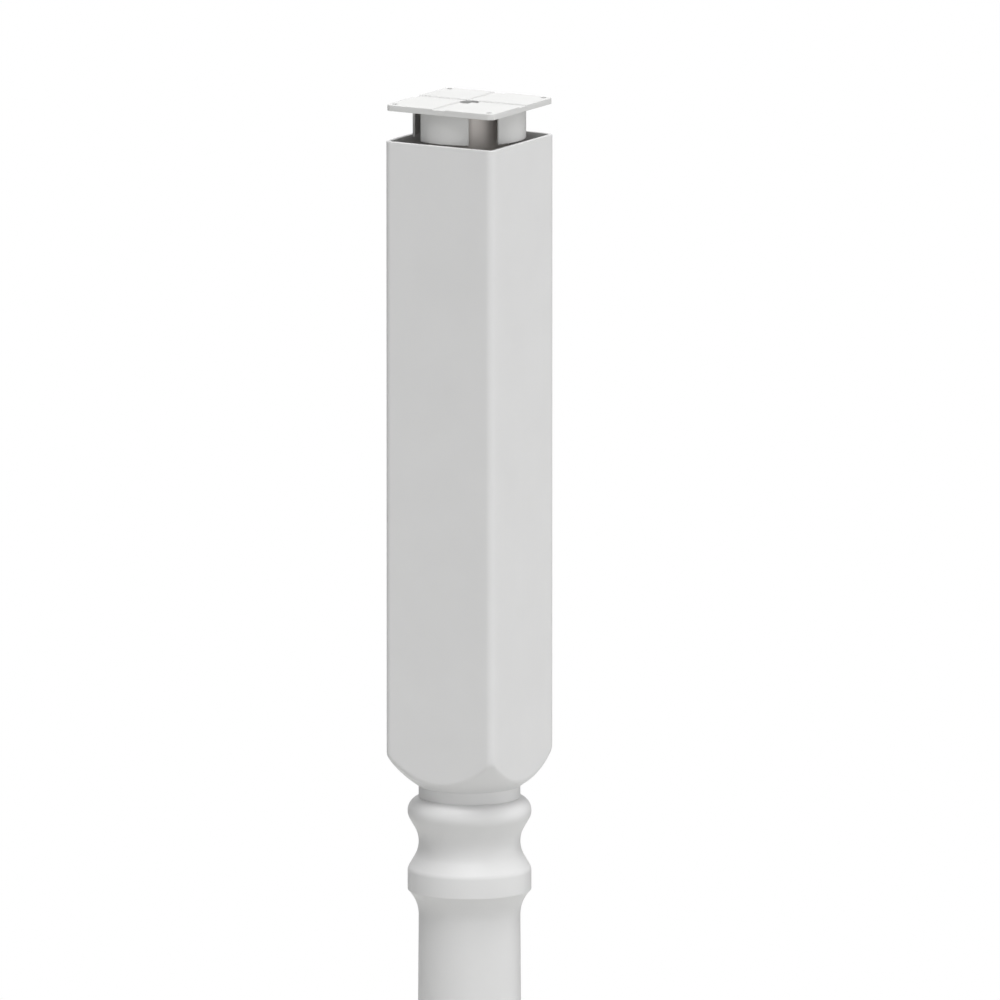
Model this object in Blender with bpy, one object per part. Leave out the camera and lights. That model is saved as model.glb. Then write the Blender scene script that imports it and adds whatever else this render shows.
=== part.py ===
"""Turned porch post: a hollow vinyl sleeve round a load-bearing metal pipe, with a mounting plate on
each end of the pipe.

The post stands on the underside of its lower plate, upright along +Z, centred on the Z axis.
All lengths are in metres.
"""
import math

import bmesh
import bpy

# The sleeve is formed from a square tube, turned thinner between two square blocks.
SLEEVE_LENGTH = 2.4384
BLOCK_SIDE = 0.1270
BLOCK_CORNER = 0.0078
SLEEVE_WALL = 0.0040
TOP_BLOCK = 0.6310
FOOT_BLOCK = 0.8636

# Each turned end runs from its block: shoulder, neck, bead, cove, band, and the sweep into the shaft.
SHOULDER_LENGTH = 0.0340
SHOULDER_RADIUS = 0.1150
NECK_LENGTH = 0.0123
MOULDING_SETBACK = 0.0007
MOULDING_RISE = 0.0112
BEAD_RADIUS = 0.0140
COVE_RADIUS = 0.0300
FLANK_ANGLE = math.radians(29.0)
BAND_EDGE_RADIUS = 0.0045
BAND_LENGTH = 0.0203
SWEEP_RADIUS = 0.0320
SHAFT_SWELL = 0.0044

# The pipe takes the load. It stands proud of the sleeve's top and carries the upper plate.
PIPE_CLEARANCE = 0.0071
PIPE_WALL = 0.0020
PIPE_PROUD = 0.0310

# Both mounting plates are the same moulding.
PLATE_INSET = 0.0010
PLATE_THICKNESS = 0.0062
PLATE_EDGE_BEVEL = 0.0008
GROOVE_WIDTH = 0.0150
GROOVE_DEPTH = 0.0012
CABLE_HOLE_RADIUS = 0.0100
SCREW_HOLE_RADIUS = 0.0030
SCREW_EDGE_DISTANCE = 0.0077
TAB_HEIGHT = 0.0306
TAB_WALL = 0.0024
TAB_CLEARANCE = 0.0021
TAB_ANGLE = math.radians(58.5)
RING_CLEARANCE = 0.0006

# Pieces that rest on each other keep this gap, because their meshes may not share a face.
SEAT_GAP = 0.0003
# Solids that are joined, and cutters, reach this far past the face that they cross.
OVERSHOOT = 0.0010
# Inside the wall, no arc is tighter than this.
LEAST_INNER_RADIUS = 0.0005

# Facets: sides to a turn, and the widest step along an arc, outside and inside.
ROUND_SIDES = 48
INNER_SIDES = 24
HOLE_SIDES = 24
SCREW_HOLE_SIDES = 12
CORNER_STEPS = 5
ARC_STEP = math.radians(16.5)
INNER_ARC_STEP = math.radians(24.0)
SHOULDER_FINENESS = 3
TAB_STEP = math.radians(8.5)

# Sizes that follow from the ones above.
HALF_SIDE = BLOCK_SIDE / 2
CORNER_REACH = (HALF_SIDE - BLOCK_CORNER) * math.sqrt(2) + BLOCK_CORNER
MOULDING_RADIUS = HALF_SIDE - MOULDING_SETBACK
NECK_RADIUS = MOULDING_RADIUS - MOULDING_RISE
PIPE_RADIUS = NECK_RADIUS - SLEEVE_WALL - PIPE_CLEARANCE
PIPE_BORE = PIPE_RADIUS - PIPE_WALL
RING_RADIUS = PIPE_BORE - RING_CLEARANCE
TAB_RADIUS = HALF_SIDE - SLEEVE_WALL - TAB_CLEARANCE
PLATE_SIDE = BLOCK_SIDE - 2 * PLATE_INSET
PLATE_CORNER = BLOCK_CORNER - PLATE_INSET
SCREW_OFFSET = PLATE_SIDE / 2 - SCREW_EDGE_DISTANCE

# Heights above the ground.
SLEEVE_FOOT = PLATE_THICKNESS + SEAT_GAP
SLEEVE_TOP = SLEEVE_FOOT + SLEEVE_LENGTH
PIPE_FOOT = SLEEVE_FOOT
PIPE_TOP = SLEEVE_TOP + PIPE_PROUD
TOP_PLATE_UNDERSIDE = PIPE_TOP + SEAT_GAP


def clear_scene():
    for old in list(bpy.data.objects):
        bpy.data.objects.remove(old, do_unlink=True)


def make_material(name, color, roughness, metallic=0.0):
    material = bpy.data.materials.new(name)
    material.use_nodes = True
    shader = material.node_tree.nodes["Principled BSDF"]
    shader.inputs["Base Color"].default_value = (*color, 1.0)
    shader.inputs["Roughness"].default_value = roughness
    shader.inputs["Metallic"].default_value = metallic
    return material


def link_mesh(name, work, material=None):
    """Turn a bmesh into a named object in the scene."""
    bmesh.ops.recalc_face_normals(work, faces=work.faces)
    mesh = bpy.data.meshes.new(name)
    work.to_mesh(mesh)
    work.free()
    piece = bpy.data.objects.new(name, mesh)
    bpy.context.scene.collection.objects.link(piece)
    if material:
        mesh.materials.append(material)
    return piece


def make_cutter(piece):
    piece.hide_render = True
    piece.display_type = "WIRE"
    return piece


def add_boolean(piece, operation, other):
    """Join or cut with another solid, which becomes a child and moves with the piece."""
    modifier = piece.modifiers.new(f"{operation.title()} {other.name}", "BOOLEAN")
    modifier.operation = operation
    modifier.solver = "EXACT"
    modifier.object = other
    other.parent = piece


def shade_round(piece, sharp_degrees=35.0):
    piece.data.shade_smooth()
    piece.data.set_sharp_from_angle(angle=math.radians(sharp_degrees))


def rounded_square(side, corner, steps=CORNER_STEPS):
    """Outline of a square with round corners, anticlockwise."""
    inner = side / 2 - corner
    outline = []
    for quarter in range(4):
        turn = math.radians(90 * quarter)
        centre_angle = turn + math.radians(45)
        centre_x = inner * math.sqrt(2) * math.cos(centre_angle)
        centre_y = inner * math.sqrt(2) * math.sin(centre_angle)
        for step in range(steps + 1):
            angle = turn + math.radians(90) * step / steps
            outline.append((centre_x + corner * math.cos(angle), centre_y + corner * math.sin(angle)))
    return outline


def add_prism(work, outline, low, high):
    """Add a solid that stands between two heights on a flat outline."""
    bottom = work.faces.new([work.verts.new((x, y, low)) for x, y in outline])
    swept = bmesh.ops.extrude_face_region(work, geom=[bottom])
    top = [item for item in swept["geom"] if isinstance(item, bmesh.types.BMVert)]
    bmesh.ops.translate(work, vec=(0, 0, high - low), verts=top)


def add_ring(work, height, radius, sides, centre=(0.0, 0.0)):
    """Add one level circle of vertices."""
    ring = []
    for index in range(sides):
        angle = 2 * math.pi * index / sides
        x = centre[0] + radius * math.cos(angle)
        y = centre[1] + radius * math.sin(angle)
        ring.append(work.verts.new((x, y, height)))
    return ring


def join_rings(work, first, second):
    """Close the strip between two rings with four-sided faces."""
    sides = len(first)
    for index in range(sides):
        follow = (index + 1) % sides
        work.faces.new((first[index], first[follow], second[follow], second[index]))


def add_lathe(work, profile, sides, centre=(0.0, 0.0)):
    """Add a closed solid turned about an upright axis from (height, radius) pairs, with flat ends."""
    rings = [add_ring(work, height, radius, sides, centre) for height, radius in profile]
    for upper, lower in zip(rings, rings[1:]):
        join_rings(work, upper, lower)
    work.faces.new(rings[0])
    work.faces.new(rings[-1])


def add_tube(work, outer, inner, low, high, sides):
    """Add a round tube that stands between two heights."""
    corners = [(low, outer), (high, outer), (high, inner), (low, inner)]
    rings = [add_ring(work, height, radius, sides) for height, radius in corners]
    for first, second in zip(rings, rings[1:] + rings[:1]):
        join_rings(work, first, second)


def arc_steps(start, end, step):
    """Angles from start to end in even steps no wider than step."""
    count = max(1, math.ceil(abs(end - start) / step - 1e-6))
    return [start + (end - start) * index / count for index in range(count + 1)]


def hump(run, level, radius, start, end, step):
    """Round-out arc. Angles are from the outward direction, along the run."""
    return [(run + radius * math.sin(angle), level + radius * math.cos(angle))
            for angle in arc_steps(start, end, step)]


def hollow(run, level, radius, start, end, step):
    """Round-in arc, with its centre outside the surface."""
    return [(run + radius * math.sin(angle), level - radius * math.cos(angle))
            for angle in arc_steps(start, end, step)]


def inside_radius(radius, shell):
    """Radius of an arc's parallel, which lies shell further in."""
    return max(radius - shell, LEAST_INNER_RADIUS)


def flank_run(first_radius, second_radius):
    """Run between the centres of two arcs that a straight, sloping flank joins.

    One arc touches the neck's level and the other the mouldings' level.
    """
    both = first_radius + second_radius
    straight_rise = MOULDING_RISE - both * (1 - math.cos(FLANK_ANGLE))
    return both * math.sin(FLANK_ANGLE) + straight_rise / math.tan(FLANK_ANGLE)


def shoulder_points(shell, step):
    """Turned dome that cuts the block's corners off, down to the neck."""
    drop = CORNER_REACH - NECK_RADIUS
    chord = math.hypot(SHOULDER_LENGTH, drop)
    depth = math.sqrt(SHOULDER_RADIUS ** 2 - (chord / 2) ** 2)
    run = SHOULDER_LENGTH / 2 - depth * drop / chord
    level = (CORNER_REACH + NECK_RADIUS) / 2 - depth * SHOULDER_LENGTH / chord
    radius = SHOULDER_RADIUS - shell
    start = math.acos((CORNER_REACH - shell + OVERSHOOT - level) / radius)
    end = math.acos((NECK_RADIUS - shell - level) / radius)
    return hump(run, level, radius, start, end, step / SHOULDER_FINENESS)


def turned_end(shaft_radius, shell, step):
    """Profile of one turned end as (run, radius), from its block towards the shaft.

    The run starts where the block's corners are first cut. shell is how far the surface lies inside
    the sleeve's outside, so the same arcs also give the inside of the wall.
    """
    points = shoulder_points(shell, step)

    bead_level = MOULDING_RADIUS - BEAD_RADIUS
    neck_angle = math.acos((NECK_RADIUS - bead_level) / BEAD_RADIUS)
    bead_run = SHOULDER_LENGTH + NECK_LENGTH + BEAD_RADIUS * math.sin(neck_angle)
    radius = BEAD_RADIUS - shell
    start = math.acos((NECK_RADIUS - shell - bead_level) / radius)
    points += hump(bead_run, bead_level, radius, -start, FLANK_ANGLE, step)

    cove_run = bead_run + flank_run(BEAD_RADIUS, COVE_RADIUS)
    points += hollow(cove_run, NECK_RADIUS + COVE_RADIUS, COVE_RADIUS + shell,
                     -FLANK_ANGLE, FLANK_ANGLE, step)

    band_run = cove_run + flank_run(COVE_RADIUS, BAND_EDGE_RADIUS)
    radius = inside_radius(BAND_EDGE_RADIUS, shell)
    points += hump(band_run, MOULDING_RADIUS - shell - radius, radius, -FLANK_ANGLE, 0.0, step)

    sweep_level = shaft_radius + SWEEP_RADIUS
    edge_angle = math.acos((sweep_level - MOULDING_RADIUS) / SWEEP_RADIUS)
    sweep_run = band_run + BAND_LENGTH + SWEEP_RADIUS * math.sin(edge_angle)
    radius = SWEEP_RADIUS + shell
    start = math.acos((sweep_level - MOULDING_RADIUS + shell) / radius)
    points += hollow(sweep_run, sweep_level, radius, -start, 0.0, step)
    return points


def sleeve_profile(shell, step):
    """Turned profile of the whole sleeve as (height, radius), from above its top to below its foot.

    Beside the blocks the profile lies outside their corners, so it leaves them square.
    """
    top = turned_end(NECK_RADIUS, shell, step)
    foot = turned_end(NECK_RADIUS + SHAFT_SWELL, shell, step)
    profile = [(SLEEVE_TOP + 2 * OVERSHOOT, top[0][1])]
    profile += [(SLEEVE_TOP - TOP_BLOCK - run, radius) for run, radius in top]
    profile += [(SLEEVE_FOOT + FOOT_BLOCK + run, radius) for run, radius in reversed(foot)]
    profile.append((SLEEVE_FOOT - 2 * OVERSHOOT, foot[0][1]))
    return profile


def squared_and_turned(name, shell, low, high, sides, step):
    """A square bar, turned thinner on a lathe: what the bar and the turned profile have in common."""
    work = bmesh.new()
    outline = rounded_square(BLOCK_SIDE - 2 * shell, inside_radius(BLOCK_CORNER, shell))
    add_prism(work, outline, low, high)
    bar = link_mesh(name, work)

    work = bmesh.new()
    add_lathe(work, sleeve_profile(shell, step), sides)
    turning = make_cutter(link_mesh(f"{name}_turning", work))
    add_boolean(bar, "INTERSECT", turning)
    return bar


def make_sleeve(material):
    sleeve = squared_and_turned("post_sleeve", 0.0, SLEEVE_FOOT, SLEEVE_TOP, ROUND_SIDES, ARC_STEP)
    hollow_core = squared_and_turned("sleeve_hollow", SLEEVE_WALL, SLEEVE_FOOT - OVERSHOOT,
                                     SLEEVE_TOP + OVERSHOOT, INNER_SIDES, INNER_ARC_STEP)
    add_boolean(sleeve, "DIFFERENCE", make_cutter(hollow_core))
    sleeve.data.materials.append(material)
    shade_round(sleeve)
    return sleeve


def make_pipe(material):
    work = bmesh.new()
    add_tube(work, PIPE_RADIUS, PIPE_BORE, PIPE_FOOT, PIPE_TOP, ROUND_SIDES)
    pipe = link_mesh("inner_pipe", work, material)
    shade_round(pipe)
    return pipe


def add_tab(work, facing):
    """Add one curved tab that stands on the plate's inner side, centred on a face of the sleeve."""
    angles = arc_steps(facing - TAB_ANGLE / 2, facing + TAB_ANGLE / 2, TAB_STEP)
    outline = [(TAB_RADIUS * math.cos(angle), TAB_RADIUS * math.sin(angle)) for angle in angles]
    inner_radius = TAB_RADIUS - TAB_WALL
    outline += [(inner_radius * math.cos(angle), inner_radius * math.sin(angle))
                for angle in reversed(angles)]
    add_prism(work, outline, PLATE_THICKNESS - OVERSHOOT, PLATE_THICKNESS + TAB_HEIGHT)


def make_tabs_and_ring(name):
    work = bmesh.new()
    for quarter in range(4):
        add_tab(work, math.radians(90 * quarter))
    add_tube(work, RING_RADIUS, RING_RADIUS - TAB_WALL, PLATE_THICKNESS - OVERSHOOT,
             PLATE_THICKNESS + TAB_HEIGHT, ROUND_SIDES)
    return make_cutter(link_mesh(name, work))


def make_cross(name):
    """The shallow cross that runs over the plate's outer face, from edge to edge."""
    reach = PLATE_SIDE / 2 + OVERSHOOT
    half = GROOVE_WIDTH / 2
    outline = []
    for quarter in range(4):
        turn = math.radians(90 * quarter)
        for along, across in ((half, -half), (reach, -half), (reach, half)):
            outline.append((along * math.cos(turn) - across * math.sin(turn),
                            along * math.sin(turn) + across * math.cos(turn)))
    work = bmesh.new()
    add_prism(work, outline, -OVERSHOOT, GROOVE_DEPTH)
    return make_cutter(link_mesh(name, work))


def make_drills(name):
    """The cable hole in the middle and a screw hole in each corner."""
    low = -OVERSHOOT
    high = PLATE_THICKNESS + OVERSHOOT
    work = bmesh.new()
    add_lathe(work, [(high, CABLE_HOLE_RADIUS), (low, CABLE_HOLE_RADIUS)], HOLE_SIDES)
    screw_hole = [(high, SCREW_HOLE_RADIUS), (low, SCREW_HOLE_RADIUS)]
    for x in (-SCREW_OFFSET, SCREW_OFFSET):
        for y in (-SCREW_OFFSET, SCREW_OFFSET):
            add_lathe(work, screw_hole, SCREW_HOLE_SIDES, centre=(x, y))
    return make_cutter(link_mesh(name, work))


def make_plate(name, material):
    """One mounting plate, lying on its outer face with its tabs and ring standing up."""
    work = bmesh.new()
    add_prism(work, rounded_square(PLATE_SIDE, PLATE_CORNER), 0.0, PLATE_THICKNESS)
    rim = [edge for edge in work.edges if all(vert.co.z < PLATE_THICKNESS / 2 for vert in edge.verts)]
    bmesh.ops.bevel(work, geom=rim, offset=PLATE_EDGE_BEVEL, segments=2, profile=0.5,
                    affect="EDGES", clamp_overlap=True)
    plate = link_mesh(name, work, material)
    add_boolean(plate, "UNION", make_tabs_and_ring(f"{name}_tabs_and_ring"))
    add_boolean(plate, "DIFFERENCE", make_cross(f"{name}_cross"))
    add_boolean(plate, "DIFFERENCE", make_drills(f"{name}_drills"))
    shade_round(plate)
    return plate


def main():
    clear_scene()
    vinyl = make_material("white vinyl", (0.83, 0.83, 0.83), 0.40)
    moulded = make_material("white moulded plastic", (0.80, 0.80, 0.80), 0.50)
    aluminium = make_material("drawn aluminium", (0.50, 0.48, 0.47), 0.45, metallic=1.0)

    make_sleeve(vinyl)
    make_pipe(aluminium)
    make_plate("base_plate", moulded)
    top_plate = make_plate("top_plate", moulded)
    top_plate.location.z = TOP_PLATE_UNDERSIDE + PLATE_THICKNESS
    top_plate.rotation_euler.x = math.pi


main()
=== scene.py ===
# %% [markdown]
# # A turned porch post, dressed for its picture
#
# The real post is a hollow sleeve of white vinyl round an aluminium pipe. The pipe carries the load, and a
# moulded plastic plate on each of its ends is screwed to the house and to the floor.
#
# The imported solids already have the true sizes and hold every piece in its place. This script loads them as
# a frame, makes a finer copy of each piece round it, and gives each copy the finish of the real material.
# All lengths are in metres, and the post stands upright on the floor, centred on the Z axis.

# %% Load the frame
import math

import bpy
import bmesh
from mathutils import Matrix, Vector


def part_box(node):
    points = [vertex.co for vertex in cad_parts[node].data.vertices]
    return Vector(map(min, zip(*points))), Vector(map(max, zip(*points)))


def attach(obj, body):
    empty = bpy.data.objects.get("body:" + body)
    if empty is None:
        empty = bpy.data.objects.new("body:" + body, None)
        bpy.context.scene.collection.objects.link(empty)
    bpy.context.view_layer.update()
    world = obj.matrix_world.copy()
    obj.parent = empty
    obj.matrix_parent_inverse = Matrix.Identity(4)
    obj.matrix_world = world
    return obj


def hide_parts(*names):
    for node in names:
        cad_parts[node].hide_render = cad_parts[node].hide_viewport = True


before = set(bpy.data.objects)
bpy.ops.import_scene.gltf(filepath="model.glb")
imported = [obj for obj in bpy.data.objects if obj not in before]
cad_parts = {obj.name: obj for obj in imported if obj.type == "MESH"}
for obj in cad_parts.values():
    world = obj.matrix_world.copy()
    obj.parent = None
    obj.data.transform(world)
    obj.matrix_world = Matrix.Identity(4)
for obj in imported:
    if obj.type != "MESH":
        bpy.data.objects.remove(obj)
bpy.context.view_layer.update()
print("nodes:", sorted(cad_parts))

# %% [markdown]
# ## The camera comes first
#
# The picture was taken from far away: the post's upright edges stay parallel and its top looks like a
# flattened diamond. A long lens at a long distance gives that look. The camera stands 30 degrees to the
# right of the post's left face and 10 degrees above the level, and it sees the post's upper end only.

# %% Camera
CAMERA_AZIMUTH = math.radians(30.0)
CAMERA_ELEVATION = math.radians(10.0)
CAMERA_DISTANCE = 40.0
# How much of the world the picture is wide, at the post.
FRAME_WIDTH = 1.0126
SENSOR_WIDTH = 36.0
AIM_HEIGHT = 2.0727
AIM_TO_THE_RIGHT = 0.0309

level_view = Vector((math.sin(CAMERA_AZIMUTH), -math.cos(CAMERA_AZIMUTH), 0.0))
picture_right = Vector((math.cos(CAMERA_AZIMUTH), math.sin(CAMERA_AZIMUTH), 0.0))
towards_camera = level_view * math.cos(CAMERA_ELEVATION)
towards_camera.z = math.sin(CAMERA_ELEVATION)
aim = Vector((0.0, 0.0, AIM_HEIGHT)) + picture_right * AIM_TO_THE_RIGHT

lens = bpy.data.cameras.new("long_lens")
lens.sensor_width = SENSOR_WIDTH
lens.lens = SENSOR_WIDTH * CAMERA_DISTANCE / FRAME_WIDTH
lens.clip_start = 1.0
lens.clip_end = 3 * CAMERA_DISTANCE
camera = bpy.data.objects.new("camera", lens)
bpy.context.scene.collection.objects.link(camera)
camera.location = aim + towards_camera * CAMERA_DISTANCE
camera.rotation_euler = towards_camera.to_track_quat("Z", "Y").to_euler()
bpy.context.scene.camera = camera
print("lens, mm:", round(lens.lens))

# %% [markdown]
# ## Two small helpers for nodes
#
# Every material and every node tree below is made of the same step: add a node, set it up, and link what
# feeds it. One function does that. Colours are written as sRGB hex values, as a paint chart gives them, and
# a second function turns them into the linear values that the renderer works with.

# %% Helpers
MATH = "ShaderNodeMath"


def add_node(tree, kind, feeds=(), result=0, **settings):
    """Add a node and return one of its outputs, or all of them where result is None.

    feeds holds what goes into the inputs, in order or by name: plain values, or sockets to link.
    """
    node = tree.nodes.new(kind)
    for name, value in settings.items():
        setattr(node, name, value)
    for key, feed in feeds.items() if isinstance(feeds, dict) else enumerate(feeds):
        if isinstance(feed, bpy.types.NodeSocket):
            tree.links.new(feed, node.inputs[key])
        else:
            node.inputs[key].default_value = feed
    return node.outputs if result is None else node.outputs[result]


def linear_colour(hex_value):
    """Turn an sRGB hex value such as "E1E0DE" into linear red, green, blue and alpha."""
    channels = [int(hex_value[start:start + 2], 16) / 255 for start in (0, 2, 4)]
    return [c / 12.92 if c <= 0.04045 else ((c + 0.055) / 1.055) ** 2.4 for c in channels] + [1.0]


print("a grey of 808080 sends back", round(linear_colour("808080")[0], 3), "of the light")

# %% [markdown]
# ## The sleeve's sizes
#
# The maker starts from a square tube, five inches wide. Between the two square blocks the tube is formed
# round: a domed shoulder cuts the block's corners off, then come a neck, a bead, a cove, a band, and a sweep
# down into the shaft. The lower end has the same mouldings upside down, and the shaft is a little thicker
# there.

# %% Sizes of the sleeve
SLEEVE_FOOT = 0.0065
SLEEVE_TOP = 2.4449
HALF_SIDE = 0.0635
BLOCK_CORNER = 0.0078
SLEEVE_WALL = 0.0040
TOP_BLOCK = 0.6310
FOOT_BLOCK = 0.8636

# How far the block's round corners reach from the axis.
CORNER_REACH = (HALF_SIDE - BLOCK_CORNER) * math.sqrt(2) + BLOCK_CORNER
MOULDING_RADIUS = 0.0628
NECK_RADIUS = 0.0516
SHAFT_SWELL = 0.0044

SHOULDER_LENGTH = 0.0340
SHOULDER_RADIUS = 0.1150
NECK_LENGTH = 0.0120
BEAD_RADIUS = 0.0150
COVE_RADIUS = 0.0300
FLANK_ANGLE = math.radians(30.0)
BAND_EDGE_RADIUS = 0.0100
BAND_LENGTH = 0.0190
BAND_FOOT_RADIUS = 0.0015
SWEEP_RADIUS = 0.0370

# Where the dome meets a flat face, heat has softened the edge over about this distance.
SOFT_EDGE = 0.0040
# The saw cuts at both ends have a small broken edge.
LIP = 0.0004
# Inside the wall, no arc is tighter than this.
LEAST_RADIUS = 0.0005

solid_low, solid_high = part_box("post_sleeve")
print("the solid sleeve stands from", round(solid_low.z, 4), "to", round(solid_high.z, 4))

# %% [markdown]
# ## The turned profile, arc by arc
#
# A turner thinks in arcs that roll into each other: a round-out arc is a hump, a round-in arc is a hollow.
# Each helper below gives one arc as points of (run, radius), where the run is measured from the block
# towards the shaft. The inside of the wall is the same row of arcs, each made tighter or wider by the wall's
# thickness, so one function draws both.

# %% One arc
def arc(run, level, radius, start, end, step):
    """Points of an arc. A negative radius gives a hollow, whose centre lies outside the surface."""
    count = max(1, math.ceil(abs(end - start) / step))
    angles = [start + (end - start) * index / count for index in range(count + 1)]
    return [(run + abs(radius) * math.sin(angle), level + radius * math.cos(angle)) for angle in angles]


def flank_run(first_radius, second_radius):
    """Run between the centres of two arcs that a straight, sloping flank joins."""
    both = first_radius + second_radius
    rise = MOULDING_RADIUS - NECK_RADIUS - both * (1 - math.cos(FLANK_ANGLE))
    return both * math.sin(FLANK_ANGLE) + rise / math.tan(FLANK_ANGLE)


print("from the bead's middle to the cove's, mm:", round(flank_run(BEAD_RADIUS, COVE_RADIUS) * 1000, 1))

# %% [markdown]
# The shoulder is one long arc from beyond the block's corners down to the neck. Its centre follows from its
# two ends and its radius.

# %% Shoulder
def shoulder_arc(depth, step):
    """The dome that cuts the block's corners off, at a depth under the sleeve's outer skin."""
    drop = CORNER_REACH - NECK_RADIUS
    chord = math.hypot(SHOULDER_LENGTH, drop)
    sink = math.sqrt(SHOULDER_RADIUS ** 2 - (chord / 2) ** 2)
    run = SHOULDER_LENGTH / 2 - sink * drop / chord
    level = (CORNER_REACH + NECK_RADIUS) / 2 - sink * SHOULDER_LENGTH / chord
    radius = SHOULDER_RADIUS - depth
    start = math.acos((CORNER_REACH - depth + SOFT_EDGE - level) / radius)
    end = math.acos((NECK_RADIUS - depth - level) / radius)
    return arc(run, level, radius, start, end, step)


print("the shoulder drops, mm:", round((CORNER_REACH - NECK_RADIUS) * 1000, 1))

# %% [markdown]
# Bead, cove and band touch straight flanks of the same slope, so each arc starts at the angle where the one
# before it ended. Under the band, a tiny round edge rolls into the long sweep.

# %% Mouldings
def mouldings(shaft_radius, depth, step):
    """Bead, cove, band and sweep, at a depth under the sleeve's outer skin."""
    bead_level = MOULDING_RADIUS - BEAD_RADIUS
    neck_angle = math.acos((NECK_RADIUS - bead_level) / BEAD_RADIUS)
    bead_run = SHOULDER_LENGTH + NECK_LENGTH + BEAD_RADIUS * math.sin(neck_angle)
    radius = BEAD_RADIUS - depth
    start = -math.acos((NECK_RADIUS - depth - bead_level) / radius)
    points = arc(bead_run, bead_level, radius, start, FLANK_ANGLE, step)

    cove_run = bead_run + flank_run(BEAD_RADIUS, COVE_RADIUS)
    radius = -COVE_RADIUS - depth
    points += arc(cove_run, NECK_RADIUS + COVE_RADIUS, radius, -FLANK_ANGLE, FLANK_ANGLE, step)

    band_run = cove_run + flank_run(COVE_RADIUS, BAND_EDGE_RADIUS)
    radius = max(BAND_EDGE_RADIUS - depth, LEAST_RADIUS)
    points += arc(band_run, MOULDING_RADIUS - depth - radius, radius, -FLANK_ANGLE, 0.0, step)

    sweep_level = shaft_radius + SWEEP_RADIUS
    sharp_angle = math.acos((sweep_level - MOULDING_RADIUS) / SWEEP_RADIUS)
    sweep_run = band_run + BAND_LENGTH + SWEEP_RADIUS * math.sin(sharp_angle)
    radius = max(BAND_FOOT_RADIUS - depth, LEAST_RADIUS)
    level = MOULDING_RADIUS - depth - radius
    both = SWEEP_RADIUS + depth + radius
    meet_angle = math.acos((sweep_level - level) / both)
    points += arc(sweep_run - both * math.sin(meet_angle), level, radius, 0.0, meet_angle, step * 2)
    points += arc(sweep_run, sweep_level, -SWEEP_RADIUS - depth, -meet_angle, 0.0, step)
    return points


FINE_STEP = math.radians(4.0)
INNER_STEP = math.radians(8.0)
print("points in one set of mouldings:", len(mouldings(NECK_RADIUS, 0.0, FINE_STEP)))

# %% [markdown]
# ## The profile as a chain of points that knows more than its place
#
# The square blocks and the round mouldings belong to one wall, so one rule has to give both. Each point of
# the chain carries its place and two numbers of its own. X is how far out the lathe would leave the surface
# at that height, and Z is the height. The attribute depth says how deep the point lies under the outer skin,
# and soft_edge says how softly the square and the round surface meet at that height.

# %% Rows of the sleeve
SHOULDER_STEP = math.radians(0.5)
INNER_SHOULDER_STEP = math.radians(1.5)
BEYOND_CORNERS = CORNER_REACH + 2 * SOFT_EDGE
DOWNWARDS, UPWARDS = -1, 1


def sleeve_side(depth, step, shoulder_step):
    """One skin of the wall from top to foot, as rows of (reach, height, depth, soft_edge)."""
    rows = []
    for block_end, direction, swell in ((SLEEVE_TOP - TOP_BLOCK, DOWNWARDS, 0.0),
                                        (SLEEVE_FOOT + FOOT_BLOCK, UPWARDS, SHAFT_SWELL)):
        end = [(reach, block_end + direction * run, depth, SOFT_EDGE)
               for run, reach in shoulder_arc(depth, shoulder_step)]
        end += [(reach, block_end + direction * run, depth, 0.0)
                for run, reach in mouldings(NECK_RADIUS + swell, depth, step)]
        rows += end if direction == DOWNWARDS else reversed(end)
    top = (BEYOND_CORNERS, SLEEVE_TOP - LIP, depth, SOFT_EDGE)
    foot = (BEYOND_CORNERS, SLEEVE_FOOT + LIP, depth, SOFT_EDGE)
    return [top, *rows, foot]


def lip_rows(height):
    """The broken edges of a saw cut, from the outer skin to the inner one."""
    return [(BEYOND_CORNERS, height, depth, SOFT_EDGE) for depth in (LIP, SLEEVE_WALL - LIP)]


outer_rows = sleeve_side(0.0, FINE_STEP, SHOULDER_STEP)
inner_rows = sleeve_side(SLEEVE_WALL, INNER_STEP, INNER_SHOULDER_STEP)
sleeve_rows = outer_rows + lip_rows(SLEEVE_FOOT) + inner_rows[::-1] + lip_rows(SLEEVE_TOP)[::-1]
sleeve_rows.append(sleeve_rows[0])
print("points of the sleeve's chain:", len(sleeve_rows))

# %% [markdown]
# The rows become a mesh of loose points with the two numbers as attributes. A node tree can then ask any
# point for them by its index.

# %% Chain
def make_chain(name, rows):
    """A mesh object of loose points, which the turning tree reads row by row."""
    mesh = bpy.data.meshes.new(name)
    mesh.from_pydata([(reach, 0.0, height) for reach, height, _, _ in rows], [], [])
    for attribute_name, column in (("depth", 2), ("soft_edge", 3)):
        attribute = mesh.attributes.new(attribute_name, "FLOAT", "POINT")
        attribute.data.foreach_set("value", [row[column] for row in rows])
    chain = bpy.data.objects.new(name, mesh)
    bpy.context.scene.collection.objects.link(chain)
    return chain


sleeve_chain = make_chain("sleeve_chain", sleeve_rows)
print("attributes of the chain:", [attribute.name for attribute in sleeve_chain.data.attributes])

# %% [markdown]
# ## How every tree starts and ends
#
# A node tree is a recipe with named inputs. Both trees of this script open with their list of inputs, and
# both close in the same way: smooth shading, every copy made real, and the material set, so that nothing is
# lost when the result leaves Blender.

# %% Open and close a tree
def open_tree(name, inputs, result):
    """A new tree with named inputs and one result. Returns the tree and the sockets of its inputs."""
    tree = bpy.data.node_groups.new(name, "GeometryNodeTree")
    for socket_name, kind in inputs:
        tree.interface.new_socket(socket_name, in_out="INPUT", socket_type=f"NodeSocket{kind}")
    tree.interface.new_socket(result, in_out="OUTPUT", socket_type="NodeSocketGeometry")
    return tree, add_node(tree, "NodeGroupInput", result=None)


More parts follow.
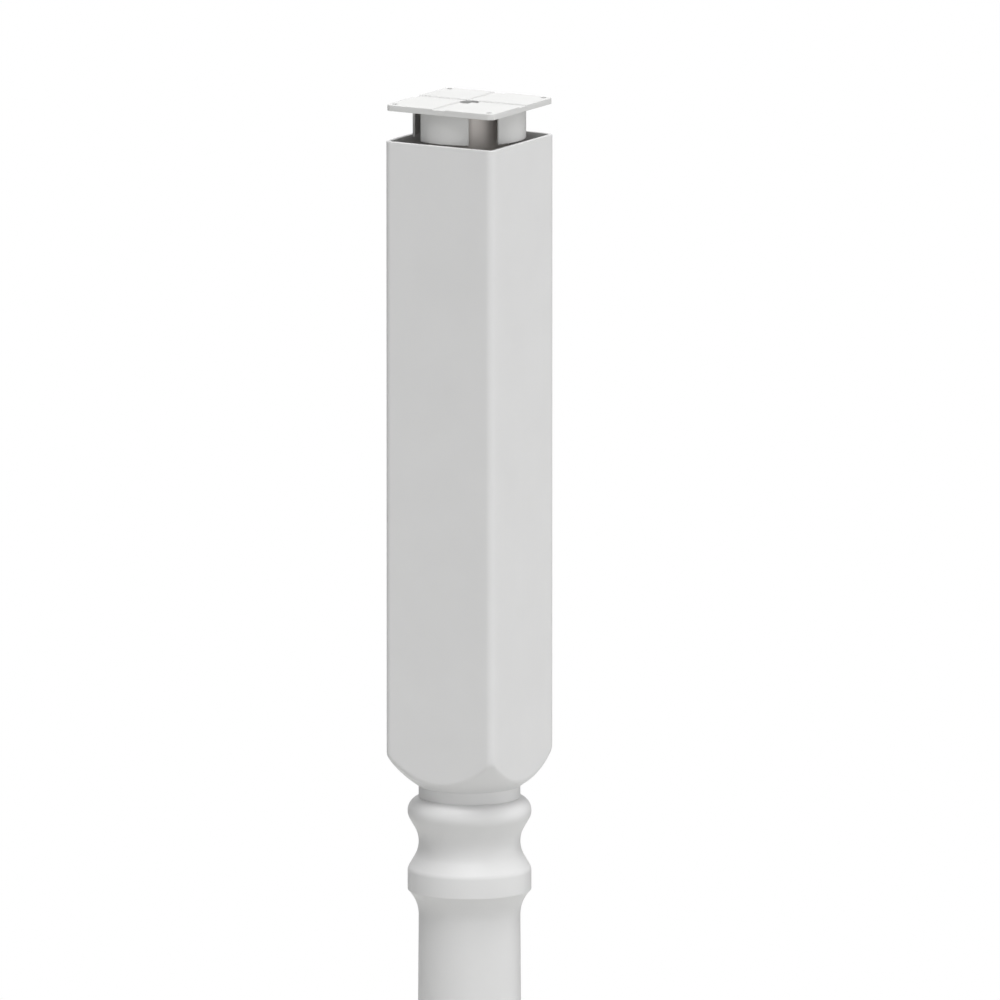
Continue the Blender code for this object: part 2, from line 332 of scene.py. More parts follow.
def close_tree(tree, geometry, material):
    """Turn the geometry into one real mesh in its material, and hand it out."""
    geometry = add_node(tree, "GeometryNodeSetShadeSmooth", {"Geometry": geometry})
    geometry = add_node(tree, "GeometryNodeRealizeInstances", {"Geometry": geometry})
    geometry = add_node(tree, "GeometryNodeSetMaterial", {"Geometry": geometry, "Material": material})
    add_node(tree, "NodeGroupOutput", {0: geometry}, result=None)
    print(tree.name + ":", len(tree.nodes), "nodes")
    return tree


# %% [markdown]
# ## A node tree that turns and squares a tube
#
# The sleeve could be modelled by cutting a turned solid with a square one, but a cut leaves ragged faces
# along the curved edge where they meet. Here each point is placed by a rule instead. The tree makes a grid
# with a row for each point of the chain and a column for each step round the post, and sends every grid
# point to its place. Its distance from the axis is the smaller of two: what the lathe leaves, and where the
# square tube's surface lies in that direction. A smooth minimum rounds the edge between them.
#
# First, each grid point has to find its own row in the chain, and read what the chain says there.

# %% Read the chain
def read_chain(tree, chain, row):
    """What the chain says about a row: its place as X, Y and Z, its depth and its soft edge."""
    position = add_node(tree, "GeometryNodeInputPosition")
    place = add_node(tree, "GeometryNodeSampleIndex",
                     {"Geometry": chain, "Value": position, "Index": row}, data_type="FLOAT_VECTOR")
    numbers = []
    for name in ("depth", "soft_edge"):
        attribute = add_node(tree, "GeometryNodeInputNamedAttribute", {"Name": name}, data_type="FLOAT")
        numbers.append(add_node(tree, "GeometryNodeSampleIndex",
                                {"Geometry": chain, "Value": attribute, "Index": row}, data_type="FLOAT"))
    return add_node(tree, "ShaderNodeSeparateXYZ", (place,), result=None), *numbers


print("the tree reads two numbers beside each place: depth and soft_edge")

# %% [markdown]
# Next comes the square tube alone: how far its surface is from the axis in a given direction. Up to the
# round corner that is a flat face. On the corner it is a circle, whose centre lies on the diagonal.

# %% Reach of the square tube
def square_reach(tree, given, depth, from_face):
    """Distance from the axis to the square tube's skin, from_face radians off a face's middle."""
    half = add_node(tree, MATH, (given["Half Side"], depth), operation="SUBTRACT")
    corner = add_node(tree, MATH, (given["Corner Radius"], depth), operation="SUBTRACT")
    corner = add_node(tree, MATH, (corner, LEAST_RADIUS), operation="MAXIMUM")
    straight = add_node(tree, MATH, (half, corner), operation="SUBTRACT")

    cosine = add_node(tree, MATH, (from_face,), operation="COSINE")
    flat_reach = add_node(tree, MATH, (half, cosine), operation="DIVIDE")

    from_corner = add_node(tree, MATH, (math.pi / 4, from_face), operation="SUBTRACT")
    centre = add_node(tree, MATH, (straight, math.sqrt(2)), operation="MULTIPLY")
    cosine = add_node(tree, MATH, (from_corner,), operation="COSINE")
    sine = add_node(tree, MATH, (from_corner,), operation="SINE")
    along = add_node(tree, MATH, (centre, cosine), operation="MULTIPLY")
    beside = add_node(tree, MATH, (centre, sine), operation="MULTIPLY")
    beside_squared = add_node(tree, MATH, (beside, beside), operation="MULTIPLY")
    corner_squared = add_node(tree, MATH, (corner, corner), operation="MULTIPLY")
    rise = add_node(tree, MATH, (corner_squared, beside_squared), operation="SUBTRACT")
    rise = add_node(tree, MATH, (rise,), operation="SQRT")
    corner_reach = add_node(tree, MATH, (along, rise), operation="ADD")

    slope = add_node(tree, MATH, (from_face,), operation="TANGENT")
    corner_slope = add_node(tree, MATH, (straight, half), operation="DIVIDE")
    on_corner = add_node(tree, MATH, (slope, corner_slope), operation="GREATER_THAN")
    return add_node(tree, "GeometryNodeSwitch",
                    {"Switch": on_corner, "False": flat_reach, "True": corner_reach}, input_type="FLOAT")


print("the straight part of a face, mm:", round((HALF_SIDE - BLOCK_CORNER) * 2000, 1))

# %% [markdown]
# The whole tree puts the two together. The columns are crowded towards the four corners, where the surface
# turns fastest: a small sine wave is added to their even turns. The grid's first and last rows and columns
# lie on each other, so merging them closes the tube.

# %% Turning tree
MERGE_DISTANCE = 0.00001
TUBE_CORNERS = 4


def make_turning_tree():
    tree, given = open_tree("Turn and square a tube", (
        ("Chain", "Geometry"), ("Half Side", "Float"), ("Corner Radius", "Float"), ("Steps Around", "Int"),
        ("Corner Crowding", "Float"), ("Material", "Material")), "Tube")

    rows = add_node(tree, "GeometryNodeAttributeDomainSize", {"Geometry": given["Chain"]}, "Point Count")
    columns = add_node(tree, MATH, (given["Steps Around"], 1.0), operation="ADD")
    grid = add_node(tree, "GeometryNodeMeshGrid", {"Vertices X": rows, "Vertices Y": columns}, "Mesh")
    index = add_node(tree, "GeometryNodeInputIndex")
    row = add_node(tree, "FunctionNodeIntegerMath", (index, columns), operation="DIVIDE_FLOOR")
    column = add_node(tree, "FunctionNodeIntegerMath", (index, columns), operation="MODULO")
    place, depth, soft_edge = read_chain(tree, given["Chain"], row)

    part_of_turn = add_node(tree, MATH, (column, given["Steps Around"]), operation="DIVIDE")
    even_turn = add_node(tree, MATH, (part_of_turn, 2 * math.pi), operation="MULTIPLY")
    wave = add_node(tree, MATH, (even_turn, TUBE_CORNERS), operation="MULTIPLY")
    wave = add_node(tree, MATH, (wave,), operation="SINE")
    turn = add_node(tree, MATH, (wave, given["Corner Crowding"], even_turn), operation="MULTIPLY_ADD")
    from_face = add_node(tree, MATH, (turn, math.pi / 4), operation="PINGPONG")

    reach = square_reach(tree, given, depth, from_face)
    radius = add_node(tree, MATH, (place["X"], reach, soft_edge), operation="SMOOTH_MIN")
    cosine = add_node(tree, MATH, (turn,), operation="COSINE")
    sine = add_node(tree, MATH, (turn,), operation="SINE")
    x = add_node(tree, MATH, (radius, cosine), operation="MULTIPLY")
    y = add_node(tree, MATH, (radius, sine), operation="MULTIPLY")
    position = add_node(tree, "ShaderNodeCombineXYZ", (x, y, place["Z"]))
    tube = add_node(tree, "GeometryNodeSetPosition", {"Geometry": grid, "Position": position})
    tube = add_node(tree, "GeometryNodeMergeByDistance", {"Geometry": tube, "Distance": MERGE_DISTANCE})
    return close_tree(tree, tube, given["Material"])


turning_tree = make_turning_tree()

# %% [markdown]
# ## From a tree to a plain mesh
#
# The finished piece has to be a plain mesh. The next helper hangs the tree on its starting object, fills in
# its inputs, lets Blender work it out once, and keeps the result as a new mesh. It also marks the edges that
# are sharp on the real piece, so that only the round parts are shaded smoothly.

# %% Finish a piece
SHARP_ANGLE = math.radians(30.0)


def make_from_tree(name, start, tree, values):
    """Turn a starting object and a tree into a finished mesh object, and remove the starting object."""
    modifier = start.modifiers.new("tree", "NODES")
    modifier.node_group = tree
    for item in tree.interface.items_tree:
        if item.name in values:
            modifier[item.identifier] = values[item.name]
    evaluated = start.evaluated_get(bpy.context.evaluated_depsgraph_get())
    mesh = bpy.data.meshes.new_from_object(evaluated)
    start.modifiers.clear()
    bpy.data.objects.remove(start)

    mesh.name = name
    mesh.materials.clear()
    mesh.materials.append(values["Material"])
    mesh.polygons.foreach_set("material_index", [0] * len(mesh.polygons))
    mesh.set_sharp_from_angle(angle=SHARP_ANGLE)
    piece = bpy.data.objects.new(name, mesh)
    bpy.context.scene.collection.objects.link(piece)
    return piece


def measure(piece):
    """Print what a maker would check: size, volume, open edges and triangles."""
    work = bmesh.new()
    work.from_mesh(piece.data)
    volume = work.calc_volume(signed=True)
    open_edges = sum(1 for edge in work.edges if not edge.is_manifold)
    triangles = sum(len(face.verts) - 2 for face in work.faces)
    work.free()
    size = [round(side * 1000, 1) for side in piece.dimensions]
    print(f"{piece.name}: {size} mm, {volume * 1e6:.0f} cm3, {open_edges} open edges, {triangles} triangles")


print("edges sharper than", round(math.degrees(SHARP_ANGLE)), "degrees stay sharp")

# %% [markdown]
# ## Patterns and finishes
#
# No real surface is quite even. Each material below takes soft noise, sized from something real in
# millimetres and fixed to the object, and lets it move three things a little: the colour, the roughness and
# the relief. A fresh material has one Principled shader, and what is the same all over goes straight into
# the shader's own inputs.

# %% Patterns and finishes
# Noise gathers round a half. These two bounds take in nearly all of it.
NOISE_LOW, NOISE_HIGH = 0.3, 0.7


def object_pattern(tree, size, stretch=1.0, detail=2.0):
    """Smooth noise with features of that size in metres, drawn out along Z by stretch."""
    place = add_node(tree, "ShaderNodeTexCoord", result="Object")
    place = add_node(tree, "ShaderNodeMapping", {"Vector": place, "Scale": (1.0, 1.0, 1.0 / stretch)})
    return add_node(tree, "ShaderNodeTexNoise", {"Vector": place, "Scale": 1.0 / size, "Detail": detail})


def new_material(name, **shader_values):
    """A material with one Principled shader, whose inputs are given by name."""
    material = bpy.data.materials.new(name)
    material.use_nodes = True
    shader = material.node_tree.nodes["Principled BSDF"]
    for key, value in shader_values.items():
        shader.inputs[key].default_value = value
    print("material:", name)
    return material, material.node_tree, shader


def lay_finish(tree, shader, tint, colours, grain, roughness, relief, strength, height):
    """Let tint move the colour, grain the roughness, and relief the surface's height in metres."""
    bounds = {"From Min": NOISE_LOW, "From Max": NOISE_HIGH}
    share = add_node(tree, "ShaderNodeMapRange", {"Value": tint, **bounds})
    shade, light = (linear_colour(colour) for colour in colours)
    colour = add_node(tree, "ShaderNodeMix", {0: share, 6: shade, 7: light}, 2, data_type="RGBA")
    rough = add_node(tree, "ShaderNodeMapRange",
                     {"Value": grain, **bounds, "To Min": roughness[0], "To Max": roughness[1]})
    bump = add_node(tree, "ShaderNodeBump", {"Height": relief, "Strength": strength, "Distance": height})
    for feed, name in ((colour, "Base Color"), (rough, "Roughness"), (bump, "Normal")):
        tree.links.new(feed, shader.inputs[name])


# %% [markdown]
# PVC vinyl is extruded and then formed with heat. To the eye it is an even, neutral white with a satin
# sheen. Close up there are faint lines along the post from the extruder, and a soft orange-peel ripple where
# the hot wall was pressed to shape.

# %% Formed vinyl
VINYL_COLOURS = ("CACACA", "CCCCCC")
VINYL_IOR = 1.53
VINYL_ROUGHNESS = (0.42, 0.48)
VINYL_MOTTLE = 0.060
EXTRUDER_LINE_SPACING = 0.0040
EXTRUDER_LINE_LENGTH = 0.400
# How strong the extruder's lines are beside the orange peel.
LINE_SHARE = 0.4
ORANGE_PEEL = 0.0060
PEEL_HEIGHT = 0.00005
# Heat has smoothed the ripple, so little of it shows.
PEEL_STRENGTH = 0.3


def make_vinyl():
    material, tree, shader = new_material("formed_pvc_vinyl_satin", IOR=VINYL_IOR)
    mottle = object_pattern(tree, VINYL_MOTTLE)
    lines = object_pattern(tree, EXTRUDER_LINE_SPACING, EXTRUDER_LINE_LENGTH / EXTRUDER_LINE_SPACING)
    peel = object_pattern(tree, ORANGE_PEEL)
    relief = add_node(tree, MATH, (lines, LINE_SHARE, peel), operation="MULTIPLY_ADD")
    lay_finish(tree, shader, mottle, VINYL_COLOURS, lines, VINYL_ROUGHNESS,
               relief, PEEL_STRENGTH, PEEL_HEIGHT)
    return material


vinyl = make_vinyl()

# %% [markdown]
# The mounting plates are injection-moulded. The mould was eroded with sparks, which leaves a fine, even
# grain, so this white plastic is duller than the vinyl, and a shade darker.

# %% Moulded plastic
PLASTIC_COLOURS = ("BFBFBE", "C2C2C1")
PLASTIC_IOR = 1.50
PLASTIC_ROUGHNESS = (0.50, 0.62)
FLOW_SIZE = 0.030
# The real grain is about 0.2 mm, too fine to show here, so it is drawn coarser.
GRAIN_SIZE = 0.0015
GRAIN_HEIGHT = 0.00005
GRAIN_STRENGTH = 0.4


def make_moulded_plastic():
    material, tree, shader = new_material("moulded_plastic_spark_grain", IOR=PLASTIC_IOR)
    flow = object_pattern(tree, FLOW_SIZE)
    grain = object_pattern(tree, GRAIN_SIZE, detail=4.0)
    lay_finish(tree, shader, flow, PLASTIC_COLOURS, grain, PLASTIC_ROUGHNESS,
               grain, GRAIN_STRENGTH, GRAIN_HEIGHT)
    return material


plastic = make_moulded_plastic()

# %% [markdown]
# The pipe is drawn through a die, which leaves fine lines along it, and it is left in its mill finish: a
# slightly warm grey metal with blurred reflections. A thin skin of oxide scatters part of the light, so the
# shader is not wholly metallic.

# %% Drawn aluminium
METAL_COLOURS = ("D0CBC7", "DBD6D2")
METAL_SHARE = 0.85
METAL_ROUGHNESS = (0.52, 0.64)
# Die lines are about 0.3 mm apart, too fine to show here, so they are drawn coarser.
DIE_LINE_SPACING = 0.0012
DIE_LINE_LENGTH = 0.150
DIE_LINE_HEIGHT = 0.00004
DIE_LINE_STRENGTH = 0.4
OXIDE_SIZE = 0.020


def make_aluminium():
    material, tree, shader = new_material("drawn_aluminium_mill_finish", Metallic=METAL_SHARE)
    oxide = object_pattern(tree, OXIDE_SIZE)
    lines = object_pattern(tree, DIE_LINE_SPACING, DIE_LINE_LENGTH / DIE_LINE_SPACING)
    tint = add_node(tree, MATH, (oxide, lines), operation="ADD")
    tint = add_node(tree, MATH, (tint, 2.0), operation="DIVIDE")
    lay_finish(tree, shader, tint, METAL_COLOURS, lines, METAL_ROUGHNESS,
               lines, DIE_LINE_STRENGTH, DIE_LINE_HEIGHT)
    return material


aluminium = make_aluminium()

# %% [markdown]
# ## The sleeve
#
# Now the tree gets its chain and its sizes. The chain runs down the outside and back up the inside, so the
# sleeve comes out as one closed wall, open at both ends as the real one is.

# %% Sleeve
SLEEVE_STEPS = 192
CORNER_CROWDING = 0.2

sleeve = make_from_tree("vinyl_sleeve", sleeve_chain, turning_tree, {
    "Half Side": HALF_SIDE, "Corner Radius": BLOCK_CORNER, "Steps Around": SLEEVE_STEPS,
    "Corner Crowding": CORNER_CROWDING, "Material": vinyl})
measure(sleeve)

# %% [markdown]
# ## The pipe
#
# The pipe is turned by the same tree. Its square is set so wide that it never cuts, which leaves every ring
# round. The tube was sawn and its edges broken, so the rim catches a thin line of light.

# %% Pipe
PIPE_FOOT = 0.0065
PIPE_TOP = 2.4759
PIPE_RADIUS = 0.0405
PIPE_WALL = 0.0020
PIPE_EDGE = 0.0003
PIPE_STEPS = 128
NEVER_CUTS = 1.0

pipe_bore = PIPE_RADIUS - PIPE_WALL
pipe_section = [
    (PIPE_RADIUS, PIPE_TOP - PIPE_EDGE), (PIPE_RADIUS, PIPE_FOOT + PIPE_EDGE),
    (PIPE_RADIUS - PIPE_EDGE, PIPE_FOOT), (pipe_bore + PIPE_EDGE, PIPE_FOOT),
    (pipe_bore, PIPE_FOOT + PIPE_EDGE), (pipe_bore, PIPE_TOP - PIPE_EDGE),
    (pipe_bore + PIPE_EDGE, PIPE_TOP), (PIPE_RADIUS - PIPE_EDGE, PIPE_TOP),
    (PIPE_RADIUS, PIPE_TOP - PIPE_EDGE)]
pipe_chain = make_chain("pipe_chain", [(reach, height, 0.0, 0.0) for reach, height in pipe_section])
pipe = make_from_tree("aluminium_pipe", pipe_chain, turning_tree, {
    "Half Side": NEVER_CUTS, "Corner Radius": LEAST_RADIUS, "Steps Around": PIPE_STEPS,
    "Corner Crowding": 0.0, "Material": aluminium})
measure(pipe)

# %% [markdown]
# ## The mounting plates
#
# Each plate is one moulding: a square slab with a shallow cross pressed into its outer face, a cable hole in
# the middle and a screw hole in each corner. On its inner side, four curved tabs centre the sleeve and a
# ring centres the pipe.

# %% Sizes of a plate
PLATE_SIDE = 0.1250
PLATE_CORNER = 0.0068
PLATE_THICKNESS = 0.0062
PLATE_EDGE_BEVEL = 0.0008
GROOVE_WIDTH = 0.0150
GROOVE_DEPTH = 0.0012
# The groove's walls lean, so that the mould lets go: this much sideways for each unit of depth.
GROOVE_LEAN = 0.7
CABLE_HOLE_RADIUS = 0.0100
SCREW_HOLE_RADIUS = 0.0030
SCREW_OFFSET = 0.0548
TAB_COUNT = 4
TAB_HEIGHT = 0.0306
TAB_RADIUS = 0.0574
TAB_WALL = 0.0024
TAB_ANGLE = math.radians(58.5)
TAB_EDGE_RADIUS = 0.0005
RING_RADIUS = 0.0379
UPPER_PLATE_TOP = 2.4824
# Parts that are joined or cut reach this far into or past each other.
OVERLAP = 0.0010

plate_low, plate_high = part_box("top_plate")
print("the solid plate is", [round(side * 1000, 1) for side in plate_high - plate_low], "mm")

# %% [markdown]
# The tabs and the ring are the same small section, swept along an arc: a sixth of a turn for a tab, the
# whole turn for the ring. The section reaches a little into the slab, so that they join. One tab is made,
# and copied to each side of the plate.

# %% Tabs and ring
EDGE_POINTS = 3
TAB_POINTS = 25
RING_POINTS = 96


def add_section(tree, given):
    """The section of a tab's wall with its rounded edges, and how high its middle lies."""
    height = add_node(tree, MATH, (given["Tab Height"], OVERLAP), operation="ADD")
    section = add_node(tree, "GeometryNodeCurvePrimitiveQuadrilateral",
                       {"Width": given["Wall"], "Height": height})
    section = add_node(tree, "GeometryNodeFilletCurve",
                       {"Curve": section, "Count": EDGE_POINTS, "Radius": given["Edge Radius"],
                        "Limit Radius": True}, mode="POLY")
    foot = add_node(tree, MATH, (given["Thickness"], OVERLAP), operation="SUBTRACT")
    middle = add_node(tree, MATH, (height, 0.5, foot), operation="MULTIPLY_ADD")
    return section, add_node(tree, "ShaderNodeCombineXYZ", {"Z": middle})


def sweep(tree, path, section, lift):
    """The section drawn along a path, lifted to its place."""
    path = add_node(tree, "GeometryNodeSetCurveNormal", {"Curve": path}, mode="Z_UP")
    swept = add_node(tree, "GeometryNodeCurveToMesh",
                     {"Curve": path, "Profile Curve": section, "Fill Caps": True})
    return add_node(tree, "GeometryNodeTransform", {"Geometry": swept, "Translation": lift})


def add_tabs_and_ring(tree, given):
    section, lift = add_section(tree, given)
    half_wall = add_node(tree, MATH, (given["Wall"], 0.5), operation="MULTIPLY")
    radius = add_node(tree, MATH, (given["Tab Radius"], half_wall), operation="SUBTRACT")
    start = add_node(tree, MATH, (given["Tab Angle"], -0.5), operation="MULTIPLY")
    tab = add_node(tree, "GeometryNodeCurveArc", {
        "Resolution": TAB_POINTS, "Radius": radius, "Start Angle": start,
        "Sweep Angle": given["Tab Angle"]}, mode="RADIUS")
    tab = sweep(tree, tab, section, lift)
    points = add_node(tree, "GeometryNodePoints", {"Count": given["Tab Count"]})
    index = add_node(tree, "GeometryNodeInputIndex")
    part_of_turn = add_node(tree, MATH, (index, given["Tab Count"]), operation="DIVIDE")
    turn = add_node(tree, MATH, (part_of_turn, 2 * math.pi), operation="MULTIPLY")
    turn = add_node(tree, "ShaderNodeCombineXYZ", {"Z": turn})
    tabs = add_node(tree, "GeometryNodeInstanceOnPoints",
                    {"Points": points, "Instance": tab, "Rotation": turn})

    radius = add_node(tree, MATH, (given["Ring Radius"], half_wall), operation="SUBTRACT")
    ring = add_node(tree, "GeometryNodeCurvePrimitiveCircle",
                    {"Resolution": RING_POINTS, "Radius": radius}, "Curve")
    return tabs, sweep(tree, ring, section, lift)


print("a tab is", round(TAB_RADIUS * TAB_ANGLE * 1000, 1), "mm long, measured along its curve")

# %% [markdown]
# The cutters are two crossed bars, a drill for the cable and four for the screws. A bar starts as a box
# round the slab's outer face. Each of its corners is then moved sideways by its height times the lean, so
# that the groove is narrower at its floor than at its mouth.

# %% Cutters
CABLE_HOLE_SIDES = 64
SCREW_HOLE_SIDES = 32
# A drill is this many times as long as the slab is thick, so it passes right through.
DRILL_REACH = 4.0


def add_groove_bars(tree, given):
    length = add_node(tree, MATH, (given["Side"], 2 * OVERLAP), operation="ADD")
    depth = add_node(tree, MATH, (given["Groove Depth"], 2.0), operation="MULTIPLY")
    size = add_node(tree, "ShaderNodeCombineXYZ", (length, given["Groove Width"], depth))
    bar = add_node(tree, "GeometryNodeMeshCube", {"Size": size}, "Mesh")
    corner = add_node(tree, "GeometryNodeInputPosition")
    corner = add_node(tree, "ShaderNodeSeparateXYZ", (corner,), result=None)
    side = add_node(tree, MATH, (corner["Y"],), operation="SIGN")
    inwards = add_node(tree, MATH, (side, given["Groove Lean"]), operation="MULTIPLY")
    down = add_node(tree, MATH, (corner["Z"], -1.0), operation="MULTIPLY")
    lean = add_node(tree, MATH, (inwards, down), operation="MULTIPLY")
    lean = add_node(tree, "ShaderNodeCombineXYZ", {"Y": lean})
    bar = add_node(tree, "GeometryNodeSetPosition", {"Geometry": bar, "Offset": lean})
    cross_bar = add_node(tree, "GeometryNodeTransform",
                         {"Geometry": bar, "Rotation": (0.0, 0.0, math.pi / 2)})
    return bar, cross_bar


def add_drills(tree, given):
    length = add_node(tree, MATH, (given["Thickness"], DRILL_REACH), operation="MULTIPLY")
    cable_drill = add_node(tree, "GeometryNodeMeshCylinder", {
        "Vertices": CABLE_HOLE_SIDES, "Radius": given["Cable Hole Radius"], "Depth": length}, "Mesh")
    screw_drill = add_node(tree, "GeometryNodeMeshCylinder", {
        "Vertices": SCREW_HOLE_SIDES, "Radius": given["Screw Hole Radius"], "Depth": length}, "Mesh")
    spread = add_node(tree, MATH, (given["Screw Offset"], 2.0), operation="MULTIPLY")
    corners = add_node(tree, "GeometryNodeMeshGrid",
                       {"Size X": spread, "Size Y": spread, "Vertices X": 2, "Vertices Y": 2}, "Mesh")
    screw_drills = add_node(tree, "GeometryNodeInstanceOnPoints",
                            {"Points": corners, "Instance": screw_drill})
    return cable_drill, screw_drills


print("the groove's floor is", round((GROOVE_WIDTH - 2 * GROOVE_DEPTH * GROOVE_LEAN) * 1000, 1), "mm wide")

# %% [markdown]
# The plate's tree takes a slab, joins tabs and ring to it, and then takes the cutters away. Both steps use
# the exact solver, which keeps the mesh closed.

# %% Plate tree
def make_plate_tree():
    tree, given = open_tree("Fit out a mounting plate", (
        ("Slab", "Geometry"), ("Side", "Float"), ("Thickness", "Float"), ("Groove Width", "Float"),
        ("Groove Depth", "Float"), ("Groove Lean", "Float"), ("Cable Hole Radius", "Float"),
        ("Screw Hole Radius", "Float"), ("Screw Offset", "Float"), ("Tab Count", "Int"),
        ("Tab Radius", "Float"), ("Tab Angle", "Float"), ("Tab Height", "Float"), ("Wall", "Float"),
        ("Edge Radius", "Float"), ("Ring Radius", "Float"), ("Material", "Material")), "Plate")
    whole = given["Slab"]
    # A union takes all its solids in one input. A difference has one of its own for what is cut.
    for operation, first_input, others in (
            ("UNION", "Mesh 2", add_tabs_and_ring(tree, given)),
            ("DIFFERENCE", "Mesh 1", add_groove_bars(tree, given) + add_drills(tree, given))):
        whole = add_node(tree, "GeometryNodeMeshBoolean", {first_input: whole}, operation=operation,
                         solver="EXACT")
        for other in others:
            tree.links.new(other, whole.node.inputs["Mesh 2"])
    return close_tree(tree, whole, given["Material"])


plate_tree = make_plate_tree()

# %% [markdown]
# The slab itself is plain mesh work: a square with round corners, drawn out to its thickness, with the edge
# of its outer face rounded. The plate is made lying on that face.

# %% Slab
CORNER_POINTS = 10
BEVEL_SEGMENTS = 4


def make_slab():
    """A starting object for a plate: the bare slab, its outer face down."""
    work = bmesh.new()
    outline = []
    inner = PLATE_SIDE / 2 - PLATE_CORNER
    for quarter in range(4):
        middle = Matrix.Rotation(quarter * math.pi / 2, 3, "Z") @ Vector((inner, inner, 0.0))
        for step in range(CORNER_POINTS + 1):
            angle = (quarter + step / CORNER_POINTS) * math.pi / 2
            outline.append(middle + PLATE_CORNER * Vector((math.cos(angle), math.sin(angle), 0.0)))
    face = work.faces.new([work.verts.new(point) for point in outline])
    swept = bmesh.ops.extrude_face_region(work, geom=[face])["geom"]
    upper = [item for item in swept if isinstance(item, bmesh.types.BMVert)]
    bmesh.ops.translate(work, vec=(0.0, 0.0, PLATE_THICKNESS), verts=upper)
    rims = [edge for edge in work.edges if edge.verts[0].co.z == edge.verts[1].co.z]
    outer_rim = [edge for edge in rims if edge.verts[0].co.z < PLATE_THICKNESS / 2]
    bmesh.ops.bevel(work, geom=outer_rim, offset=PLATE_EDGE_BEVEL, segments=BEVEL_SEGMENTS, profile=0.5,
                    affect="EDGES")
    bmesh.ops.recalc_face_normals(work, faces=work.faces)
    mesh = bpy.data.meshes.new("slab")
    work.to_mesh(mesh)
    work.free()
    slab = bpy.data.objects.new("slab", mesh)
    bpy.context.scene.collection.objects.link(slab)
    return slab


print("a bare slab is about", round(PLATE_SIDE ** 2 * PLATE_THICKNESS * 1e6), "cm3")

# %% [markdown]
# Both plates come from the same tree. The lower one stays as it was made. The upper one is turned over, mesh
# and all, and lifted to the pipe's end, so its object still sits at the origin.

# %% Plates
def make_plate(name, turned_over):
    plate = make_from_tree(name, make_slab(), plate_tree, {
        "Side": PLATE_SIDE, "Thickness": PLATE_THICKNESS, "Groove Width": GROOVE_WIDTH,
        "Groove Depth": GROOVE_DEPTH, "Groove Lean": GROOVE_LEAN, "Cable Hole Radius": CABLE_HOLE_RADIUS,
        "Screw Hole Radius": SCREW_HOLE_RADIUS, "Screw Offset": SCREW_OFFSET, "Tab Count": TAB_COUNT,
        "Tab Radius": TAB_RADIUS, "Tab Angle": TAB_ANGLE, "Tab Height": TAB_HEIGHT, "Wall": TAB_WALL,
        "Edge Radius": TAB_EDGE_RADIUS, "Ring Radius": RING_RADIUS, "Material": plastic})
    if turned_over:
        lift = Matrix.Translation((0.0, 0.0, UPPER_PLATE_TOP))
        plate.data.transform(lift @ Matrix.Rotation(math.pi, 4, "X"))
    measure(plate)
    return plate


upper_plate = make_plate("upper_mounting_plate", turned_over=True)
lower_plate = make_plate("lower_mounting_plate", turned_over=False)

# %% [markdown]
# ## Each piece takes its place
#
# The post doesn't move, so everything rides on the one body, root. Each new piece stands for the solid it
# was made round, and that solid is hidden.

# %% Ride and replace
for piece, node, slot in (
        (sleeve, "post_sleeve", "sleeve_vinyl"), (pipe, "inner_pipe", "pipe_metal"),
        (upper_plate, "top_plate", "plate_plastic"), (lower_plate, "base_plate", "plate_plastic")):
    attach(piece, "root")
    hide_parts(node)
    print(piece.name, "replaces", node)

# %% [markdown]
# ## The floor
#
# A plain painted floor carries the post and sends light up under its mouldings. A studio floor is rolled up
# behind the object into a white backdrop. Here it fades into one: from three metres out the paint slowly
# gives way to a white glow, so no horizon shows.

# %% Floor
FLOOR_COLOUR = "BEBEBC"
FLOOR_RADIUS = 6.0
FLOOR_FADE_START = 3.0
FLOOR_SIDES = 128
WHITE = (1.0, 1.0, 1.0, 1.0)


def paint_floor():
    material = bpy.data.materials.new("painted_studio_floor")
    material.use_nodes = True
    tree = material.node_tree
    tree.nodes.clear()
    place = add_node(tree, "ShaderNodeTexCoord", result="Object")
    distance = add_node(tree, "ShaderNodeVectorMath", (place,), "Value", operation="LENGTH")
    fade = add_node(tree, "ShaderNodeMapRange",
                    {"Value": distance, "From Min": FLOOR_FADE_START, "From Max": FLOOR_RADIUS},
                    interpolation_type="SMOOTHSTEP")
    paint = add_node(tree, "ShaderNodeBsdfDiffuse", {"Color": linear_colour(FLOOR_COLOUR)})
    glow = add_node(tree, "ShaderNodeEmission", {"Color": WHITE})
    mixed = add_node(tree, "ShaderNodeMixShader", (fade, paint, glow))
    add_node(tree, "ShaderNodeOutputMaterial", {"Surface": mixed}, result=None)
    return material


def make_floor():
    work = bmesh.new()
    bmesh.ops.create_circle(work, cap_ends=True, segments=FLOOR_SIDES, radius=FLOOR_RADIUS)
    mesh = bpy.data.meshes.new("floor")
    work.to_mesh(mesh)
    work.free()
    mesh.materials.append(paint_floor())
    floor = bpy.data.objects.new("floor", mesh)
    bpy.context.scene.collection.objects.link(floor)
    return floor


floor = make_floor()
print("the floor is", 2 * FLOOR_RADIUS, "m across")

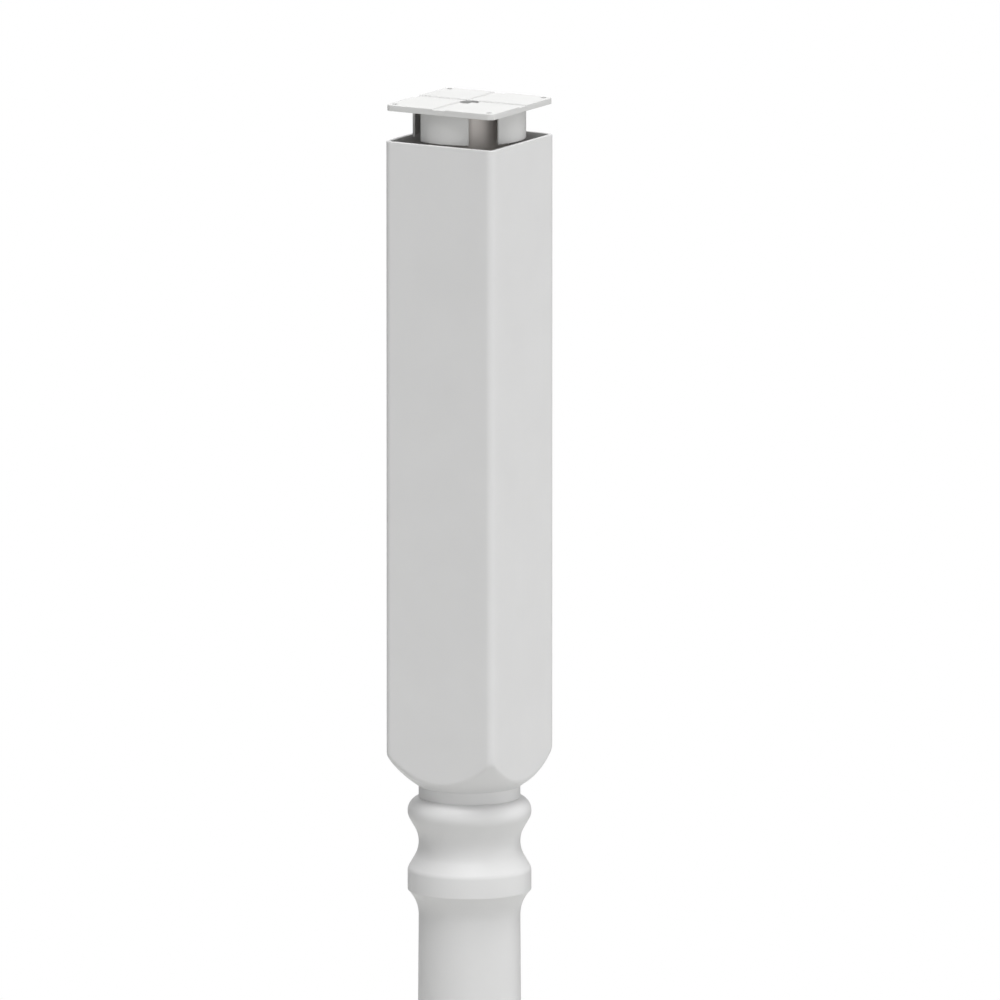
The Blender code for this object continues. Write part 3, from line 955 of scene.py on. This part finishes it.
# %% [markdown]
# ## The light
#
# The studio is plain. A large soft box hangs nearly overhead, tipped towards the camera, with a small one
# straight above: they light the flat tops, and leave the neck and the cove in soft shade. Weaker boxes at
# the post's own height stand to the right, in front and to the left, so that the right face comes out
# lighter than the left one and the round shaft fades to both sides. One more, behind the post and raised a
# little, keeps its back from going dull.
#
# All of them are painted on the world as round glows: the light from a direction is its closeness to the
# box's own direction, raised to a power that says how tight the box is. The camera sees plain white instead.

# %% Light
# Each soft box: degrees to the right of the camera, degrees above the level, how tight, how strong.
SOFT_BOXES = (
    (9.0, 75.0, 16.0, 11.20),
    (0.0, 90.0, 30.0, 1.00),
    (90.0, 0.0, 6.0, 2.18),
    (5.0, 0.0, 6.0, 1.42),
    (-45.0, 0.0, 6.0, 0.76),
    (195.0, 30.0, 5.0, 1.60),
)


def box_direction(azimuth, elevation):
    """From the post towards a soft box, given in degrees from the camera's side and from the level."""
    azimuth = CAMERA_AZIMUTH + math.radians(azimuth)
    elevation = math.radians(elevation)
    level = math.cos(elevation)
    return math.sin(azimuth) * level, -math.cos(azimuth) * level, math.sin(elevation)


def make_studio_light():
    world = bpy.data.worlds.new("studio")
    world.use_nodes = True
    tree = world.node_tree
    tree.nodes.clear()
    direction = add_node(tree, "ShaderNodeTexCoord", result="Generated")
    strength = 0.0
    for azimuth, elevation, tightness, power in SOFT_BOXES:
        closeness = add_node(tree, "ShaderNodeVectorMath", (direction, box_direction(azimuth, elevation)),
                             "Value", operation="DOT_PRODUCT")
        closeness = add_node(tree, MATH, (closeness, 0.0), operation="MAXIMUM")
        glow = add_node(tree, MATH, (closeness, tightness), operation="POWER")
        strength = add_node(tree, MATH, (glow, power, strength), operation="MULTIPLY_ADD")
    lit = add_node(tree, "ShaderNodeBackground", {"Color": WHITE, "Strength": strength})
    backdrop = add_node(tree, "ShaderNodeBackground", {"Color": WHITE, "Strength": 1.0})
    seen = add_node(tree, "ShaderNodeLightPath", result="Is Camera Ray")
    mixed = add_node(tree, "ShaderNodeMixShader", (seen, lit, backdrop))
    add_node(tree, "ShaderNodeOutputWorld", {"Surface": mixed}, result=None)
    bpy.context.scene.world = world


make_studio_light()
bpy.context.scene.view_settings.view_transform = "Standard"
print("soft boxes:", len(SOFT_BOXES))
